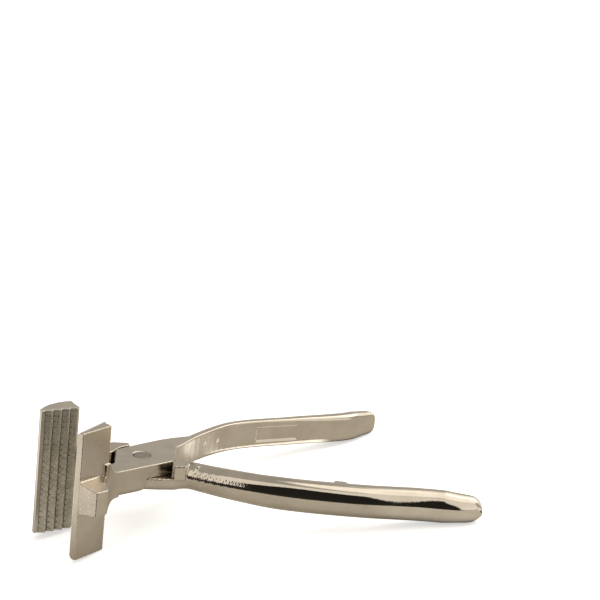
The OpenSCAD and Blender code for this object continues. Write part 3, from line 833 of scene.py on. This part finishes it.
def plated_casting():
    """Nickel over a cast body: mirror bright on the handles, softer on the arms and jaws."""
    t = Finish("plated_casting_finish")
    cast = t.attribute("cast")
    cloud = t.noise(scale=70, detail=4)
    grain = t.noise(scale=1500, detail=4, rough=0.6)
    ripple = t.noise(scale=190, detail=2, rough=0.5)
    streak = t.noise(scale=420, detail=3, rough=0.6, stretch=(0.12, 1, 1))
    # a few small pits, faint where the casting is polished
    few = t.span(t.noise(scale=240, detail=1), 0.56, 0.66)
    pits = t.times(t.span(t.spots(scale=330), 0.10, 0.02), few,
                   t.span(cast, 0.0, 1.0, 0.12, 1.0))
    edge = t.span(t.pointiness(), 0.53, 0.62)
    colour = t.mix(t.span(cloud, 0.35, 0.7), NICKEL, NICKEL_WORN)
    # painted highlight: convex edges made lighter by their pointiness
    colour = t.mix(t.times(edge, 0.6), colour, NICKEL_EDGE)
    colour = t.mix(t.times(pits, 0.7), colour, PIT_TONE)
    # painted shade: darker in crevices that the ambient occlusion finds, and along the sunk panel's
    # edges
    colour = t.mix(t.span(t.crevice(0.006), 0.62, 0.25, 0.0, 0.75), colour, PAINTED_SHADE)
    colour = t.mix(t.times(t.attribute("panel_shade"), 0.8), colour, PAINTED_SHADE)
    t.put("Base Color", colour)
    rough = t.plus(t.span(cast, 0, 1, *GLOSS_TO_SATIN), t.span(cloud, 0.4, 0.75, 0.0, 0.03))
    t.put("Roughness", t.plus(rough, t.times(t.span(streak, 0.5, 0.75), 0.04)))
    normal = t.bump(ripple, distance=0.0008, strength=t.span(cast, 0, 1, 0.03, 0.07))
    normal = t.bump(grain, distance=0.00012, strength=t.span(cast, 0, 1, 0.03, 0.16), under=normal)
    t.put("Normal", t.bump(t.minus(1.0, pits), distance=0.0002, strength=0.5, under=normal))
    return t.material


def knurled_nickel():
    """Plated teeth with a sandy face, with shade painted into its pits, valleys and lower flanks."""
    t = Finish("knurled_nickel_finish")
    rim = t.attribute("rim")
    cloud = t.noise(scale=260, detail=4)
    sand = t.noise(scale=2600, detail=4, rough=0.7)
    coarse = t.noise(scale=1100, detail=3, rough=0.65)
    colour = t.mix(t.span(cloud, 0.35, 0.7), SAND_PALE, SAND_DULL)
    colour = t.mix(t.span(coarse, 0.45, 0.62, 0.0, 0.35), colour, SAND_GRIT)
    colour = t.mix(rim, colour, NICKEL_EDGE)
    # painted shade in the pits, valleys and lower flanks
    t.put("Base Color", t.mix(t.attribute("dark"), colour, KNURL_SHADE))
    rough = t.plus(0.34, t.span(cloud, 0.3, 0.7, 0.0, 0.12))
    t.put("Roughness", t.times(rough, t.span(rim, 0, 1, 1.0, 0.35)))
    sandy = t.span(rim, 0, 1, 1.0, 0.12)
    normal = t.bump(coarse, distance=0.0003, strength=t.times(sandy, 0.3))
    t.put("Normal", t.bump(sand, distance=0.00015, strength=t.times(sandy, 0.4), under=normal))
    return t.material


def rivet_steel():
    """Duller steel with the fine scratches of a ground head."""
    t = Finish("rivet_steel_finish")
    streak = t.noise(scale=900, detail=3, rough=0.6, stretch=(0.06, 1, 1))
    cloud = t.noise(scale=500, detail=4)
    colour = t.mix(t.span(streak, 0.35, 0.7), STEEL, STEEL_DULL)
    colour = t.mix(t.span(cloud, 0.55, 0.75, 0.0, 0.5), colour, STEEL_STAIN)
    # painted shade in the groove round the head
    t.put("Base Color", t.mix(t.attribute("dark"), colour, GROOVE_SHADE))
    t.put("Roughness", t.span(cloud, 0.3, 0.7, 0.28, 0.42))
    t.put("Normal", t.bump(streak, distance=0.0001, strength=0.15))
    return t.material


plating = plated_casting()
knurling = knurled_nickel()
for piece, material in ((inner, plating), (outer, plating), (inner_knurl, knurling),
                        (outer_knurl, knurling), (pin, rivet_steel())):
    piece.data.materials.clear()
    piece.data.materials.append(material)

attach(inner, "inner_half")
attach(inner_knurl, "inner_half")
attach(pin, "inner_half")
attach(outer, "outer_half")
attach(outer_knurl, "outer_half")
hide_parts("inner_jaw_half")
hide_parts("outer_jaw_half")
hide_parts("pivot_rivet")

# ---- floor and light ----
FLOOR_HALF = 20
corners = [(x * FLOOR_HALF, y * FLOOR_HALF, 0) for x, y in ((-1, -1), (1, -1), (1, 1), (-1, 1))]
floor = mesh_object("floor", corners, [(0, 1, 2, 3)])

PAPER, PAPER_IN_METAL = (0.86, 0.855, 0.845), (0.54, 0.515, 0.46)
FLOOR_DARK = (0.02, 0.018, 0.015)
# The ends of the glow at the far handle's foot, in that half's millimetres
FOOT_ENDS = ((74, 9.0, -7), (126, -3.5, -7))
FOOT_GLOW = 1.3
# Each of these goes from, to, and then the strength at from and at to. Lengths are in metres.
WHITE_BY_DISTANCE = (0.2, 2.0, 0.55, 0.70)
LEFT_GLOW = (-0.20, -0.11, 0.38, 0.04)
NEAR_GLOW_Y, NEAR_GLOW_FADE = (-0.05, -0.065, 0.0, 0.2), (0.085, 0.105, 1.0, 0.6)
NEAR_GLOW_X = (0.04, 0.065)
FRONT_END, BESIDE_END = (-0.17, -0.15), (0.02, 0.05)
CORNER_END, CORNER_Y = (0.165, 0.145), (-0.075, -0.06)
FRONT_SLANT, BESIDE_SLANT, CORNER_TOWARD = 0.176, 0.33, (-0.82, -0.57)


def foot_glow(t, x, y):
    """Light that lies on the floor along the foot of the far handle."""
    start, end = placed(FOOT_ENDS, INNER.turn)[:, :2]
    length = float(np.linalg.norm(end - start))
    ux, uy = (float(c) for c in (end - start) / length)

    def off(nx, ny):
        whole = t.plus(t.times(x, nx), t.times(y, ny))
        return t.minus(whole, float(start[0] * nx + start[1] * ny))

    beside, along = off(uy, -ux), off(ux, uy)
    return t.times(t.span(beside, 0.010, 0.006), t.span(beside, -0.006, -0.002),
                   t.span(along, -0.004, 0.006), t.span(along, length + 0.004, length - 0.006))


def paper():
    """Pale floor that the camera sees near white, with the shadow kept.

    Rays from the metal see it darker, with three glows and a dark end in front."""
    t = Finish("paper", 0.0)
    t.put("Roughness", 0.9)
    t.put("Specular IOR Level", 0.1)
    seen, shine = t.ray("Is Camera Ray"), t.ray("Is Glossy Ray")
    far = t.nodes.new("ShaderNodeVectorMath")
    far.operation = "LENGTH"
    t.links.new(t.place, far.inputs[0])
    white = t.span(far.outputs["Value"], *WHITE_BY_DISTANCE)
    split = t.nodes.new("ShaderNodeSeparateXYZ")
    t.links.new(t.place, split.inputs[0])
    x, y = split.outputs["X"], split.outputs["Y"]
    # glows left of the tool, before the near handle and at the far handle's foot
    left = t.span(x, *LEFT_GLOW)
    before = t.times(t.span(y, *NEAR_GLOW_Y), t.span(x, *NEAR_GLOW_X), t.span(x, *NEAR_GLOW_FADE))
    glows = t.most(t.most(left, before), t.times(foot_glow(t, x, y), FOOT_GLOW))
    glow = t.plus(t.times(seen, white), t.times(shine, glows))
    # for the metal the floor ends in the dark in front and at the near left corner
    front = t.span(t.plus(y, t.times(x, FRONT_SLANT)), *FRONT_END)
    beside = t.span(t.plus(t.times(y, BESIDE_SLANT), x), *BESIDE_END)
    corner = t.plus(t.times(x, CORNER_TOWARD[0]), t.times(y, CORNER_TOWARD[1]))
    corner = t.most(t.span(corner, *CORNER_END), t.span(y, *CORNER_Y))
    lit = t.most(t.maths("MINIMUM", t.most(front, beside), corner), t.minus(1.0, shine))
    t.put("Emission Color", (1, 1, 1))
    t.put("Emission Strength", t.times(glow, lit))
    t.put("Base Color", t.mix(lit, FLOOR_DARK, t.mix(shine, PAPER, PAPER_IN_METAL)))
    return t.material


floor.data.materials.append(paper())

world = bpy.data.worlds.new("world")
scene.world = world
world.use_nodes = True

FRONT_AZIMUTH = -100  # towards the camera's side
ROOM_TONE, WHITE = (1.0, 0.945, 0.865), (1, 1, 1)
DARKEST = 0.98
# Slopes of the dark side's borders, and how softly each border passes
LID_FRONT, LID_ACROSS, LID_EDGE = 1.43, 0.75, (-0.03, 0.05)
LEFT_SLOPE, RIGHT_SLOPE, RIGHT_LEAN, END_EDGE = 0.75, 0.295, 0.05, (-0.02, 0.03)
STRIP_SLOPE, STRIP_EDGE, STRIP_HEIGHT, STRIP_FRONT = 2.1, (-0.03, 0.05), (0.17, 0.11), (0.02, 0.06)
# Pale patches: where they lie, how softly they end, and how bright they are
CEILING_FRONT, CEILING = (0.27, 0.36), 0.54
WALL_AT, WALL_EDGE = (25, 31), (0.87, 0.94)
HIGH_AT, HIGH_EDGE = (0, 55), (0.857, 0.92)
PATCH = 0.95
SKY_BY_HEIGHT = (0.25, 0.5, 0.54, 0.46)


def toward(azimuth, elevation):
    a, e = math.radians(azimuth), math.radians(elevation)
    return math.cos(a) * math.cos(e), math.sin(a) * math.cos(e), math.sin(e)


def studio(t):
    """White for the camera. For the metal a pale room with a dark side behind the camera."""
    direction = t.nodes.new("ShaderNodeTexCoord").outputs["Generated"]

    def dot(v):
        made = t.nodes.new("ShaderNodeVectorMath")
        made.operation = "DOT_PRODUCT"
        t.links.new(direction, made.inputs[0])
        made.inputs[1].default_value = v
        return made.outputs["Value"]

    front = dot(toward(FRONT_AZIMUTH, 0))
    across = dot(toward(FRONT_AZIMUTH + 90, 0))
    height = dot((0, 0, 1))
    # the dark side of the room, with a slanting lid and two ends
    lid = t.minus(t.times(front, LID_FRONT), t.times(t.maths("ABSOLUTE", across), LID_ACROSS))
    left_end = t.span(t.plus(across, t.times(front, LEFT_SLOPE)), *END_EDGE)
    right_end = t.plus(t.times(front, RIGHT_SLOPE), t.times(height, RIGHT_LEAN))
    right_end = t.span(t.minus(right_end, across), *END_EDGE)
    dark = t.times(t.span(t.minus(lid, height), *LID_EDGE), left_end, right_end)
    # a low dark strip that reaches further to the left
    strip_end = t.span(t.plus(across, t.times(front, STRIP_SLOPE)), *STRIP_EDGE)
    strip = t.times(t.span(height, *STRIP_HEIGHT), t.span(front, *STRIP_FRONT),
                    strip_end, right_end)
    dark = t.most(dark, strip)
    # pale ceiling over the camera, and two pale patches beyond the tool on the right
    ceiling = t.times(t.span(front, *CEILING_FRONT), CEILING)
    wall = t.span(dot(toward(*WALL_AT)), *WALL_EDGE)
    high = t.span(dot(toward(*HIGH_AT)), *HIGH_EDGE)
    ceiling = t.most(ceiling, t.times(high, PATCH))
    base = t.span(height, *SKY_BY_HEIGHT)
    sky = t.plus(base, t.plus(ceiling, t.times(wall, PATCH)))
    light = t.times(sky, t.minus(1.0, t.times(dark, DARKEST)))
    seen = t.ray("Is Camera Ray")
    ground = t.nodes["Background"]
    t.feed(ground.inputs["Strength"], t.most(seen, light))
    t.feed(ground.inputs["Color"], t.mix(seen, ROOM_TONE, WHITE))


studio(Graph(world.node_tree))


LAMP_AT, LAMP_TARGET = (-0.1, 0.0, 1.2), (0.0, -0.02, 0)
LAMP_SIZE, LAMP_WATTS = 0.9, 4.0


def overhead_lamp():
    """Soft light from above that the metal doesn't mirror."""
    data = bpy.data.lights.new("overhead", "AREA")
    data.shape = "RECTANGLE"
    data.size, data.size_y = LAMP_SIZE, LAMP_SIZE
    data.energy = LAMP_WATTS
    lamp = linked("overhead", data)
    aim = (Vector(LAMP_TARGET) - Vector(LAMP_AT)).to_track_quat("-Z", "Y").to_matrix().to_4x4()
    lamp.matrix_world = Matrix.Translation(LAMP_AT) @ aim
    lamp.visible_glossy = False


overhead_lamp()
